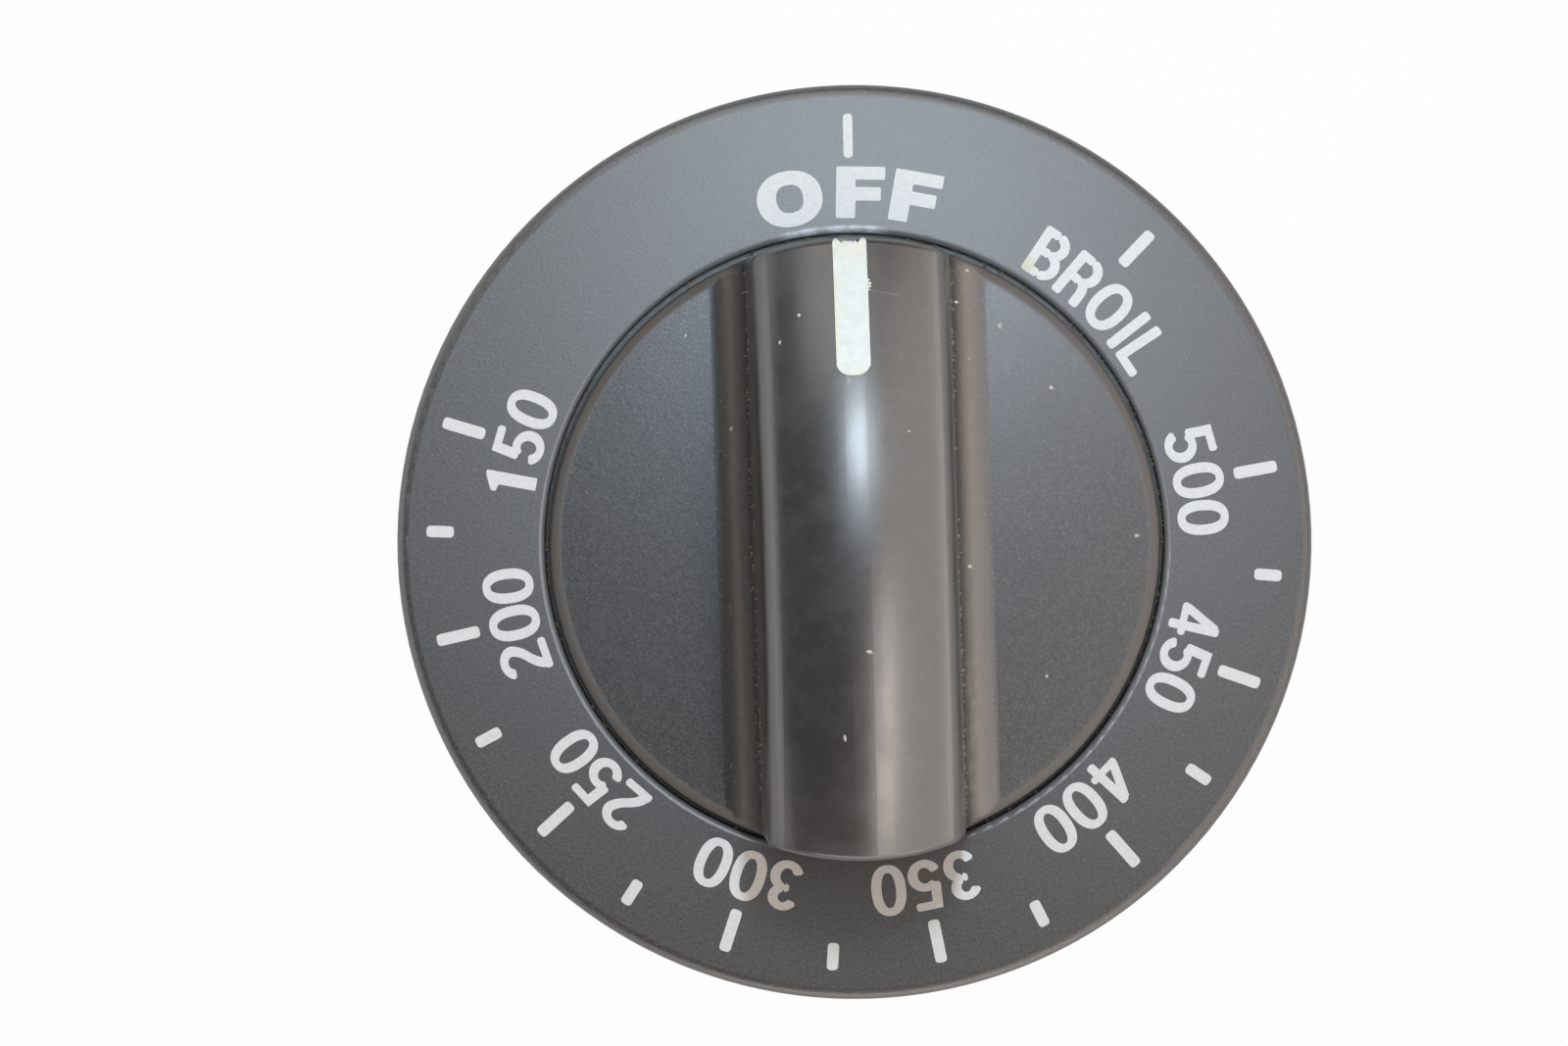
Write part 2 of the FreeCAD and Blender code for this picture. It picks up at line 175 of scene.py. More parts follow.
def times(tree, product, *factors):
    for factor in factors:
        product = math_node(tree, "MULTIPLY", product, factor)
    return product


def most(tree, largest, *others):
    for value in others:
        largest = math_node(tree, "MAXIMUM", largest, value)
    return largest


def from_axis(tree, x, y):
    return math_node(tree, "SQRT", math_node(tree, "MULTIPLY_ADD", x, x, times(tree, y, y)))


def ramp(tree, value, low, high, to_low=0.0, to_high=1.0):
    inputs = {"Value": value, "From Min": low, "From Max": high, "To Min": to_low, "To Max": to_high}
    return add_node(tree, "ShaderNodeMapRange", inputs, interpolation_type="SMOOTHSTEP").outputs["Result"]


def fade(tree, value, low, high):
    return ramp(tree, value, low, high, to_low=1.0, to_high=0.0)


def band(tree, value, low, high, soft):
    rise = ramp(tree, value, low - soft, low + soft)
    return times(tree, rise, fade(tree, value, high - soft, high + soft))


def grain(tree, place, scale, detail=3.0, roughness=0.55):
    inputs = {"Vector": place, "Scale": scale, "Detail": detail, "Roughness": roughness}
    return add_node(tree, "ShaderNodeTexNoise", inputs).outputs["Fac"]


def cells(tree, place, scale):
    inputs = {"Vector": place, "Scale": scale}
    return add_node(tree, "ShaderNodeTexVoronoi", inputs, feature="F1").outputs["Distance"]


def blend(tree, factor, first, second, share=1.0):
    # Mixes two colours, each a socket or a constant; share is the most that shows of the second.
    if share < 1.0:
        factor = times(tree, factor, share)
    mixed = add_node(tree, "ShaderNodeMix", {0: factor}, data_type="RGBA")
    for index, colour in ((COLOUR_A, first), (COLOUR_B, second)):
        if isinstance(colour, bpy.types.NodeSocket):
            tree.links.new(colour, mixed.inputs[index])
        else:
            mixed.inputs[index].default_value = (*colour, 1.0)
    return mixed.outputs[COLOUR_RESULT]


def blend_values(tree, factor, first, second):
    inputs = {0: factor, VALUE_A: first, VALUE_B: second}
    return add_node(tree, "ShaderNodeMix", inputs, data_type="FLOAT").outputs[VALUE_RESULT]


def bump(tree, height, distance, strength, below=None):
    inputs = {"Height": height, "Distance": distance * MM, "Strength": strength}
    if below is not None:
        inputs["Normal"] = below
    return add_node(tree, "ShaderNodeBump", inputs).outputs["Normal"]


def tint(colour, factor):
    return tuple(channel * factor for channel in colour)


# Materials
def grip_material():
    material, tree, shader = new_material("grip_plastic")
    place = millimetres(tree)
    x, y, z = axes(tree, place)
    side = math_node(tree, "ABSOLUTE", x)
    radius = from_axis(tree, x, y)
    left = fade(tree, x, *LEFT_HALF)
    on_disc = fade(tree, z, *DISC_TO_BAR)
    fine = grain(tree, place, scale=4.5, detail=5.0, roughness=0.7)
    broad = grain(tree, place, scale=0.35)

    # Satin bar with faint smudges
    colour = blend(tree, ramp(tree, broad, 0.35, 0.7), tint(GRIP_COLOUR, 0.9), tint(GRIP_COLOUR, 1.1))
    smudged = ramp(tree, grain(tree, place, scale=0.9, detail=4.0, roughness=0.65), 0.45, 0.70)
    colour = blend(tree, smudged, colour, tint(GRIP_COLOUR, 1.6), share=0.5)

    # Mottled disc with painted glints, a dull brown edge, and painted shade on the rounding at the pointer's
    # side
    disc = blend(tree, ramp(tree, fine, 0.40, 0.68), tint(DISC_COLOUR, 0.55), tint(DISC_COLOUR, 1.7))
    # Painted glints: sparse bright dots in the disc's colour
    glints = fade(tree, cells(tree, place, scale=1.7), 0.06, 0.20)
    disc = blend(tree, glints, disc, tint(DISC_COLOUR, 4.5), share=0.45)
    colour = blend(tree, on_disc, colour, disc)
    disc_edge = times(tree, ramp(tree, radius, *DISC_EDGE), fade(tree, z, *DISC_EDGE_DEPTH))
    colour = blend(tree, disc_edge, colour, EDGE_COLOUR)
    # Painted shade: the disc's rounding on the pointer's side is painted near black
    shaded_rounding = times(tree, ramp(tree, radius, *SHADED_ROUNDING), ramp(tree, y, *POINTER_SIDE),
                     fade(tree, z, *SHADED_ROUNDING_DEPTH))
    colour = blend(tree, shaded_rounding, colour, SEAM_COLOUR)

    # Hollow roots beside the bar: painted shade, darkest next to the bar and dark all along the left root;
    # on the right a brown film that is partly dust and partly painted reflection of the light from the right
    root = times(tree, band(tree, side, *ROOT_SIDES), fade(tree, z, *ROOT_DEPTH))
    near = fade(tree, side, *ROOT_NEAR)
    patchy = ramp(tree, grain(tree, place, scale=1.1, detail=5.0, roughness=0.7), 0.38, 0.72)
    left_root_shade = blend(tree, near, tint(ROOT_SHADE_COLOUR, 3.6), tint(ROOT_SHADE_COLOUR, 0.2))
    right_root_film_and_reflection = blend(tree, near, tint(FILM_AND_REFLECTION_COLOUR, 1.15), tint(FILM_AND_REFLECTION_COLOUR, 0.75))
    colour = blend(tree, root, colour, blend(tree, left, right_root_film_and_reflection, left_root_shade))
    colour = blend(tree, times(tree, root, patchy), colour, DUST_COLOUR, share=0.16)
    stain = times(tree, band(tree, x, *ROOT_STAIN_X), band(tree, y, *ROOT_STAIN_Y), patchy)
    colour = blend(tree, stain, colour, GRIME_COLOUR, share=0.8)

    # Thin dotted dust on the bar's sides
    dotted = ramp(tree, cells(tree, place, scale=2.2), 0.10, 0.30, to_low=1.0, to_high=0.25)
    cloudy = ramp(tree, grain(tree, place, scale=0.5, roughness=0.6), 0.35, 0.65, to_low=0.25, to_high=0.75)
    wall = times(tree, ramp(tree, side, *WALL_SIDES), band(tree, z, *WALL_HEIGHTS), dotted, cloudy)
    colour = blend(tree, wall, colour, blend(tree, left, tint(DUST_COLOUR, 2.2), tint(DUST_COLOUR, 1.5)))

    # Painted highlight along the bar's upper edges, paint below the pointer, a scratch beside it, loose dust
    high = ramp(tree, z, *BAR_TOP)
    # Painted highlight: a lighter band along both upper edges of the bar
    worn = times(tree, band(tree, side, *EDGE_HIGHLIGHT_SIDES), high)
    colour = blend(tree, worn, colour, EDGE_HIGHLIGHT_COLOUR, share=0.4)
    drip = times(tree, band(tree, x, *DRIP_X), band(tree, y, *DRIP_Y), high)
    colour = blend(tree, drip, colour, tint(YELLOWED, 0.6), share=0.35)
    slanted = math_node(tree, "MULTIPLY_ADD", x, SCRATCH_SLOPE, y)
    scratch = times(tree, band(tree, x, *SCRATCH_X), band(tree, slanted, *SCRATCH_Y), high)
    colour = blend(tree, scratch, colour, DUST_COLOUR, share=0.5)
    specks = fade(tree, cells(tree, place, scale=1.3), 0.035, 0.07)
    colour = blend(tree, specks, colour, tint(DUST_COLOUR, 1.6), share=0.35)
    tree.links.new(colour, shader.inputs["Base Color"])

    # Gloss that dirt dulls, and the relief of the disc's texture and of the moulding
    smooth = ramp(tree, broad, 0.3, 0.7, to_low=0.29, to_high=0.33)
    textured = ramp(tree, fine, 0.3, 0.7, to_low=0.31, to_high=0.37)
    clean = blend_values(tree, on_disc, smooth, textured)
    dirty = times(tree, root, near, ramp(tree, left, 0.0, 1.0, to_low=0.6, to_high=1.0))
    dulled = times(tree, most(tree, dirty, disc_edge), 0.45)
    tree.links.new(math_node(tree, "ADD", clean, dulled), shader.inputs["Roughness"])
    shader.inputs["Specular IOR Level"].default_value = 1.0
    normal = bump(tree, times(tree, fine, on_disc), distance=0.035, strength=0.5)
    normal = bump(tree, grain(tree, place, scale=6.0), distance=0.010, strength=0.5, below=normal)
    tree.links.new(normal, shader.inputs["Normal"])
    return material


def dial_material():
    material, tree, shader = new_material("dial_plastic")
    place = millimetres(tree)
    x, y, _ = axes(tree, place)
    radius = from_axis(tree, x, y)
    fine = grain(tree, place, scale=4.0, detail=5.0, roughness=0.72)
    colour = blend(tree, ramp(tree, fine, 0.36, 0.68), tint(DIAL_COLOUR, 0.65), tint(DIAL_COLOUR, 1.5))
    # Painted glints: sparse bright bluish dots in the dial's colour
    glints = fade(tree, cells(tree, place, scale=1.6), 0.04, 0.09)
    colour = blend(tree, glints, colour, GLINT_COLOUR, share=0.4)

    # Painted highlight on the lip round the pocket, with a bright painted glint at the pointer, and the
    # pocket wall made near black
    colour = blend(tree, band(tree, radius, *LIP_HIGHLIGHT), colour, tint(DIAL_COLOUR, 4.0))
    streaks = grain(tree, stretched(tree, place, (0.6, 1.0, 1.0)), scale=1.5, roughness=0.6)
    uneven = ramp(tree, streaks, 0.38, 0.60, to_low=0.45, to_high=1.0)
    # Painted glint: a bright bluish patch on the pocket's edge at the pointer
    glint_patch = times(tree, band(tree, radius, *GLINT_PATCH), band(tree, x, *GLINT_PATCH_X), ramp(tree, y, *GLINT_PATCH_Y),
                   uneven)
    colour = blend(tree, glint_patch, colour, PAINTED_GLINT_COLOUR)
    # The pocket wall is made near black
    pocket = times(tree, fade(tree, radius, *POCKET_WALL), ramp(tree, radius, *POCKET_DARK_FROM))
    colour = blend(tree, pocket, colour, SEAM_COLOUR)
    tree.links.new(colour, shader.inputs["Base Color"])

    rough = ramp(tree, fine, 0.3, 0.7, to_low=0.40, to_high=0.46)
    tree.links.new(rough, shader.inputs["Roughness"])
    shader.inputs["IOR"].default_value = 1.62
    shader.inputs["Specular IOR Level"].default_value = 1.0
    tree.links.new(bump(tree, fine, distance=0.032, strength=0.5), shader.inputs["Normal"])
    return material


def ink_material():
    material, tree, shader = new_material("dial_ink")
    place = millimetres(tree)
    x, y, _ = axes(tree, place)
    worn = ramp(tree, grain(tree, place, scale=2.6, detail=4.0, roughness=0.65), 0.35, 0.75)
    colour = blend(tree, worn, INK_COLOUR, tint(INK_COLOUR, 0.9))
    stain = times(tree, band(tree, x, *INK_STAIN_X), band(tree, y, *INK_STAIN_Y))
    colour = blend(tree, stain, colour, YELLOWED, share=0.6)
    tree.links.new(colour, shader.inputs["Base Color"])
    rough = ramp(tree, worn, 0.0, 1.0, to_low=0.45, to_high=0.6)
    tree.links.new(rough, shader.inputs["Roughness"])
    shader.inputs["Specular IOR Level"].default_value = 0.3
    normal = bump(tree, grain(tree, place, scale=6.0), distance=0.006, strength=0.4)
    tree.links.new(normal, shader.inputs["Normal"])
    return material


def pointer_material():
    material, tree, shader = new_material("pointer_white")
    place = millimetres(tree)
    x, y, _ = axes(tree, place)
    mottled = ramp(tree, grain(tree, place, scale=1.4, detail=4.0, roughness=0.65), 0.35, 0.7)
    colour = blend(tree, mottled, POINTER_COLOUR, tint(POINTER_COLOUR, 0.93))

    # Yellowed along the left edge, at both ends and where it ran over the right edge
    left = fade(tree, x, *AGED_LEFT)
    inner = ramp(tree, y, *AGED_INNER, to_low=0.6, to_high=0.0)
    outer = ramp(tree, y, *AGED_OUTER, to_low=0.0, to_high=0.8)
    smear = times(tree, ramp(tree, x, *SMEARED_X), fade(tree, y, *SMEARED_Y))
    patchy = ramp(tree, grain(tree, place, scale=1.1, detail=4.0, roughness=0.7), 0.3, 0.65)
    aged = times(tree, most(tree, left, inner, outer, smear), patchy)
    colour = blend(tree, aged, colour, YELLOWED, share=0.55)
    tree.links.new(colour, shader.inputs["Base Color"])
    rough = ramp(tree, mottled, 0.0, 1.0, to_low=0.4, to_high=0.6)
    tree.links.new(rough, shader.inputs["Roughness"])
    shader.inputs["Specular IOR Level"].default_value = 0.35
    normal = bump(tree, grain(tree, place, scale=2.5), distance=0.03, strength=0.5)
    tree.links.new(normal, shader.inputs["Normal"])
    return material


def steel_material(name, colour, roughness):
    material, tree, shader = new_material(name)
    place = millimetres(tree)
    brushed = grain(tree, stretched(tree, place, (1.0, 9.0, 1.0)), scale=2.5, detail=4.0, roughness=0.6)
    tarnish = ramp(tree, grain(tree, place, scale=0.9, detail=4.0), 0.4, 0.7)
    shade = blend(tree, ramp(tree, brushed, 0.3, 0.7), tint(colour, 0.82), colour)
    shade = blend(tree, tarnish, shade, tint(colour, 0.55), share=0.35)
    tree.links.new(shade, shader.inputs["Base Color"])
    rough = ramp(tree, brushed, 0.3, 0.7, to_low=roughness - 0.06, to_high=roughness + 0.08)
    tree.links.new(rough, shader.inputs["Roughness"])
    shader.inputs["Metallic"].default_value = 1.0
    tree.links.new(bump(tree, brushed, distance=0.01, strength=0.3), shader.inputs["Normal"])
    return material


def crumb_material(name, colour):
    material, tree, shader = new_material(name)
    place = millimetres(tree)
    varied = ramp(tree, grain(tree, place, scale=1.7, roughness=0.6), 0.3, 0.7)
    shade = blend(tree, varied, tint(colour, 0.7), tint(colour, 1.25))
    tree.links.new(shade, shader.inputs["Base Color"])
    rough = ramp(tree, varied, 0.0, 1.0, to_low=0.75, to_high=0.95)
    tree.links.new(rough, shader.inputs["Roughness"])
    shader.inputs["Specular IOR Level"].default_value = 0.2
    return material


def put_material(thing, material):
    thing.data.materials.clear()
    thing.data.materials.append(material)


# Height in millimetres from which rays are cast down on the part
CAST_HEIGHT = 60.0


# Mesh helpers
def new_piece(name, work, material, body):
    mesh = bpy.data.meshes.new(name)
    work.to_mesh(mesh)
    work.free()
    piece = bpy.data.objects.new(name, mesh)
    bpy.context.scene.collection.objects.link(piece)
    put_material(piece, material)
    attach(piece, body)


def surface_of(name):
    mesh = nodes[name].data
    corners = [vertex.co / MM for vertex in mesh.vertices]
    faces = [list(face.vertices) for face in mesh.polygons]
    return BVHTree.FromPolygons(corners, faces)


def drop(surface, x, y):
    # The point of the surface that is seen from the front at (x, y), with its normal.
    above = Vector((x, y, CAST_HEIGHT))
    place, normal, _, _ = surface.ray_cast(above, Vector((0.0, 0.0, -1.0)))
    return place, normal


def soften_shading(name, angle):
    thing = nodes[name]
    for face in thing.data.polygons:
        face.use_smooth = True
    thing.data.set_sharp_from_angle(angle=math.radians(angle))


# Printed figures: strokes in millimetres, base line at y = 0, drawn with a pen wider than it is tall
FIGURE_HEIGHT = 4.1
FIGURE_PEN = (0.82, 0.64)
FOUR_PEN = (0.74, 0.60)
WORD_PEN = (0.80, 0.70)
HEAVY_PEN = (1.55, 1.12)
PEN_CORNER = 0.16
PEN_CLEARANCE = 1.3 * PEN_CORNER
SHARPEST_BEND = 0.5
SAME_PLACE = 1e-6
CORNER_STEPS = (0.0, 0.33, 0.67, 1.0)


def oval(centre_x, centre_y, radius_x, radius_y, start, end, power=2.0, steps=28):
    points = []
    for step in range(steps + 1):
        angle = math.radians(start + (end - start) * step / steps)
        cosine = math.cos(angle)
        sine = math.sin(angle)
        reach_x = math.copysign(abs(cosine) ** (2 / power), cosine)
        reach_y = math.copysign(abs(sine) ** (2 / power), sine)
        points.append((centre_x + radius_x * reach_x, centre_y + radius_y * reach_y))
    return points


def curve(start, first, second, end, steps=10):
    points = []
    for step in range(steps + 1):
        t = step / steps
        weights = ((1 - t) ** 3, 3 * t * (1 - t) ** 2, 3 * t ** 2 * (1 - t), t ** 3)
        corners = (start, first, second, end)
        points.append(tuple(sum(w * c[axis] for w, c in zip(weights, corners)) for axis in (0, 1)))
    return points


def pen_loop(width, height, pen, power):
    radius_x = (width - pen[0]) / 2
    radius_y = (height - pen[1]) / 2
    return oval(0, height / 2, radius_x, radius_y, 0, 360, power=power, steps=56)


FIGURES = {
    "0": [pen_loop(2.78, FIGURE_HEIGHT, FIGURE_PEN, 2.35)],
    "2": [oval(-0.02, 2.98, 0.93, 0.78, 172, -28)
          + curve((0.80, 2.61), (0.45, 1.75), (-0.80, 1.45), (-0.84, 0.2)),
          [(-1.28, 0.35), (1.24, 0.35)]],
    "3": [oval(-0.06, 3.02, 0.80, 0.74, 165, -80), oval(-0.06, 1.30, 0.93, 0.96, 82, -165),
          [(-0.42, 2.24), (0.05, 2.24)]],
    "4": [[(0.46, 0.0), (0.46, 4.1)], [(-1.38, 1.12), (1.26, 1.12)], [(-1.08, 1.12), (0.36, 3.92)]],
    "5": [[(1.08, 3.75), (-0.66, 3.75), (-0.82, 1.92)],
          oval(-0.05, 1.30, 0.96, 0.96, 140, -165)],
}
WORDS = {
    "B": [[(-0.92, 0.0), (-0.92, 4.1)], [(-1.0, 0.35), (0.1, 0.35)], [(-1.0, 3.75), (0.05, 3.75)],
          [(-1.0, 2.12), (0.1, 2.12)], oval(0.08, 2.93, 0.80, 0.82, 92, -92),
          oval(0.12, 1.24, 0.90, 0.89, 92, -92)],
    "R": [[(-0.92, 0.0), (-0.92, 4.1)], [(-1.0, 3.75), (0.1, 3.75)], [(-1.0, 1.92), (0.15, 1.92)],
          oval(0.1, 2.83, 0.86, 0.92, 92, -92), curve((0.2, 1.95), (0.75, 1.8), (0.82, 1.5), (0.84, 0.0))],
    "O": [pen_loop(2.95, FIGURE_HEIGHT, WORD_PEN, 2.3)],
    "I": [[(0.0, 0.0), (0.0, 4.1)]],
    "L": [[(-0.75, 0.0), (-0.75, 4.1)], [(-1.0, 0.35), (1.2, 0.35)]],
}
HEAVY_O = [pen_loop(5.25, 4.45, HEAVY_PEN, 2.25)]

# Outlines of the figures that are drawn without a pen
HEAVY_F = [(-1.95, 0.0), (-0.4, 0.0), (-0.4, 1.42), (1.62, 1.42), (1.62, 2.5), (-0.4, 2.5),
           (-0.4, 3.08), (1.95, 3.08), (1.95, 4.12), (-1.95, 4.12)]
HEAVY_F_CORNER = 0.14
FIGURE_ONE = [(-0.42, 0.0), (0.6, 0.0), (0.6, 4.1), (0.22, 4.1), (-0.98, 3.52), (-0.98, 3.12), (-0.42, 2.98)]
FIGURE_ONE_CORNER = 0.12


def softened(points, radius):
    # Rounds the corners of a flat shape.
    path = [Vector(point) for point in points]
    shape = []
    for before, corner, after in zip(path[-1:] + path[:-1], path, path[1:] + path[:1]):
        start = corner + (before - corner).normalized() * radius
        end = corner + (after - corner).normalized() * radius
        for t in CORNER_STEPS:
            shape.append(start * (1 - t) ** 2 + corner * 2 * t * (1 - t) + end * t ** 2)
    return [shape]


def pen_quads(points, pen):
    # Ribbon along a stroke as four-sided pieces; a stroke that ends where it starts is closed.
    closed = (Vector(points[0]) - Vector(points[-1])).length < SAME_PLACE
    path = [Vector(point) for point in (points[:-1] if closed else points)]
    trims = [0.0] * len(path)
    if not closed:
        first, last = path[0], path[-1]
        inner = [point for point in path[1:-1]
                 if min((point - first).length, (point - last).length) > PEN_CLEARANCE]
        lead = first + (path[1] - first).normalized() * PEN_CORNER
        tail = last + (path[-2] - last).normalized() * PEN_CORNER
        path = [first, lead] + inner + [tail, last]
        trims = [PEN_CORNER, 0.0] + [0.0] * len(inner) + [0.0, PEN_CORNER]
    count = len(path)
    sides = []
    for index, point in enumerate(path):
        before = path[index - 1] if closed or index else None
        after = path[(index + 1) % count] if closed or index < count - 1 else None
        runs = []
        if before is not None:
            runs.append((point - before).normalized())
        if after is not None:
            runs.append((after - point).normalized())
        along = sum(runs, Vector((0.0, 0.0))).normalized()
        across = Vector((-along.y, along.x))
        spread = 1 / max(SHARPEST_BEND, along.dot(runs[0]))
        offset = Vector((across.x * pen[0], across.y * pen[1])) * (spread / 2)
        offset -= offset.normalized() * trims[index]
        sides.append((point - offset, point + offset))
    quads = []
    for index in range(count if closed else count - 1):
        first = sides[index]
        second = sides[(index + 1) % count]
        quads.append([first[0], second[0], second[1], first[1]])
    return quads


def glyph_shapes(strokes, pen):
    shapes = []
    for stroke in strokes:
        shapes.extend(pen_quads(stroke, pen))
    return shapes


def on_dial(shapes, angle, radius):
    # Sets a figure upright at a clockwise angle, with its base line at the given radius.
    turn = math.radians(angle)
    outward = Vector((math.sin(turn), math.cos(turn)))
    along = Vector((math.cos(turn), -math.sin(turn)))
    placed = []
    for shape in shapes:
        placed.append([along * point[0] + outward * (radius + point[1]) for point in shape])
    return placed


# Print: film heights in millimetres, and how near two corners may lie before they are one
FILM_LOW = DIAL_Z + 0.002
FILM_HIGH = DIAL_Z + 0.035
FILM_MERGE = 1e-5
WHOLE_HULL = 0


def add_film(work, shapes):
    # Joins overlapping shapes into one flat figure and gives it a thickness.
    corners = []
    faces = []
    for shape in shapes:
        points = [Vector(point) for point in shape]
        area = sum(p.x * q.y - q.x * p.y for p, q in zip(points, points[1:] + points[:1]))
        if area < 0:
            points.reverse()
        faces.append(list(range(len(corners), len(corners) + len(points))))
        corners.extend(points)
    flat, _, triangles, _, _, sources = delaunay_2d_cdt(corners, [], faces, WHOLE_HULL, FILM_MERGE)
    inside = [triangle for triangle, source in zip(triangles, sources) if source]
    levels = {}
    for index in sorted({index for triangle in inside for index in triangle}):
        x, y = flat[index]
        levels[index] = [work.verts.new((x * MM, y * MM, z * MM)) for z in (FILM_LOW, FILM_HIGH)]
    sides = {}
    for a, b, c in inside:
        work.faces.new((levels[a][1], levels[b][1], levels[c][1]))
        work.faces.new((levels[c][0], levels[b][0], levels[a][0]))
        for start, end in ((a, b), (b, c), (c, a)):
            if sides.pop((end, start), None) is None:
                sides[start, end] = True
    for start, end in sides:
        work.faces.new((levels[start][0], levels[end][0], levels[end][1], levels[start][1]))


# Clockwise angles of the marks from the OFF mark, and how far the whole print is turned
DIAL_TURN = 0.75
OFF_ANGLE = 0.0
BROIL_ANGLE = 44.65
HOTTEST_ANGLE = 80.5
STEP_ANGLE = 29.57
FIGURE_PITCH = 6.15
TEMPERATURES = ("500", "450", "400", "350", "300", "250", "200", "150")
BROIL_PLACES = (("B", 34.8), ("R", 41.3), ("O", 48.0), ("I", 53.0), ("L", 57.3))
HEAVY_O_ANGLE = -9.7
HEAVY_F_ANGLES = (1.9, 11.0)

# Radii of the base lines, and sizes of the ticks, in millimetres
FIGURE_BASE = 25.88
WORD_BASE = FIGURE_BASE - 0.2
HEAVY_O_BASE = FIGURE_BASE - 0.1
HEAVY_F_BASE = FIGURE_BASE + 0.1
LONG_TICK_BASE = 30.8
LONG_TICK_LENGTH = 3.5
LONG_TICK_WIDTH = 0.95
OFF_TICK_WIDTH = 0.75
SHORT_TICK_BASE = 32.05
SHORT_TICK_LENGTH = 2.2
SHORT_TICK_WIDTH = 0.92
TICK_CORNER = 0.34


def stamp(work, shapes, angle, base):
    add_film(work, on_dial(shapes, angle + DIAL_TURN, base))


def stamp_tick(work, angle, base, length, width):
    half = width / 2
    corners = [(-half, 0), (half, 0), (half, length), (-half, length)]
    stamp(work, softened(corners, TICK_CORNER), angle, base)


def figure_shapes(figure):
    if figure == "1":
        return softened(FIGURE_ONE, FIGURE_ONE_CORNER)
    return glyph_shapes(FIGURES[figure], FOUR_PEN if figure == "4" else FIGURE_PEN)


def dial_print(material):
    work = bmesh.new()
    stamp(work, glyph_shapes(HEAVY_O, HEAVY_PEN), HEAVY_O_ANGLE, HEAVY_O_BASE)
    for angle in HEAVY_F_ANGLES:
        stamp(work, softened(HEAVY_F, HEAVY_F_CORNER), angle, HEAVY_F_BASE)
    for letter, angle in BROIL_PLACES:
        stamp(work, glyph_shapes(WORDS[letter], WORD_PEN), angle, WORD_BASE)
    stamp_tick(work, OFF_ANGLE, LONG_TICK_BASE, LONG_TICK_LENGTH, OFF_TICK_WIDTH)
    stamp_tick(work, BROIL_ANGLE, LONG_TICK_BASE, LONG_TICK_LENGTH, LONG_TICK_WIDTH)
    for row, figures in enumerate(TEMPERATURES):
        middle = HOTTEST_ANGLE + row * STEP_ANGLE
        for column, figure in enumerate(figures):
            stamp(work, figure_shapes(figure), middle + (column - 1) * FIGURE_PITCH, FIGURE_BASE)
        stamp_tick(work, middle, LONG_TICK_BASE, LONG_TICK_LENGTH, LONG_TICK_WIDTH)
        if row:
            halfway = middle - STEP_ANGLE / 2
            stamp_tick(work, halfway, SHORT_TICK_BASE, SHORT_TICK_LENGTH, SHORT_TICK_WIDTH)
    new_piece("dial_print", work, material, "skirt")


# Crumbs: how far their noise is drawn apart, how uneven and how long they are
CRUMB_SPREAD = 50
CRUMB_SWELL = 0.45
CRUMB_LUMPS = 1.3
CRUMB_STRETCH = (0.7, 1.5)

# Dirt in the pocket: count, sizes and heights in millimetres, and how patchy it is
GRIME_SEED = 11
GRIME_COUNT = 260
GRIME_SIZES = (0.10, 0.26)
GRIME_HEIGHTS = (7.1, 7.75)
GRIME_CLEARANCE = 0.02
GRIME_FLATNESS = 0.9
GRIME_PATCHES = 3
GRIME_LAYER = 0.4
GRIME_LIMITS = (-0.5, 0.25)

# Dust on the grip: most of it in the corners beside the bar, the rest thinly in the hollow roots
DUST_SEED = 6
DUST_COUNT = 420
DUST_RADIUS = 23.3
DUST_LIFT = 0.1
DUST_FLATNESS = 0.5
CORNER_SHARE = 0.65
CORNER_REACH = (7.86, 8.3)
CORNER_SIZES = (0.08, 0.22)
THIN_REACH = (8.4, 11.0)
THIN_SIZES = (0.05, 0.12)

# Pale lint on the grip: place in millimetres and size
LINT_SEED = 5
LINT_PLACES = ((0.5, -7.5, 0.42), (9.0, -2.0, 0.34), (12.0, 17.0, 0.55), (-1.5, -14.0, 0.34),
               (-9.5, 9.5, 0.34), (22.5, 0.0, 0.34), (16.0, 12.0, 0.34), (9.5, 14.5, 0.22),
               (9.5, 21.5, 0.30), (8.5, 19.0, 0.28), (-4.0, 18.0, 0.26), (-5.5, 16.0, 0.24),
               (4.0, 9.0, 0.18), (-13.0, 17.0, 0.22), (15.0, -11.0, 0.20))
LINT_LIFT = 0.14
LINT_FLATNESS = 0.45

# Paint outside the pointer's groove: place and size on its right edge, and a row in the notch at its end
SMEAR_SEED = 3
EDGE_SMEARS = ((1.33, 20.0, 0.36), (1.37, 20.25, 0.38), (1.34, 20.5, 0.30), (1.32, 19.75, 0.28))
EDGE_RIM_X = 1.55
EDGE_SINK = 0.02
EDGE_FLATNESS = 0.35
NOTCH_STEPS = range(-3, 4)
NOTCH_PITCH = 0.15
NOTCH_Y = 23.42
NOTCH_Z = 21.82
NOTCH_SIZE = 0.34
NOTCH_FLATNESS = 0.8


def add_crumb(work, place, size, flatness, rng, detail=1):
    # A small uneven lump; flatness squeezes it along Z.
    made = bmesh.ops.create_icosphere(work, subdivisions=detail, radius=1.0)
    seed = Vector([rng.uniform(-CRUMB_SPREAD, CRUMB_SPREAD) for _ in range(3)])
    turn = Matrix.Rotation(rng.uniform(0, math.tau), 3, "Z")
    stretch = rng.uniform(*CRUMB_STRETCH)
    for vertex in made["verts"]:
        swell = 1.0 + CRUMB_SWELL * noise.noise(vertex.co * CRUMB_LUMPS + seed)
        shape = turn @ Vector((vertex.co.x * stretch, vertex.co.y / stretch, vertex.co.z * flatness))
        vertex.co = (Vector(place) + shape * swell * size / 2) * MM


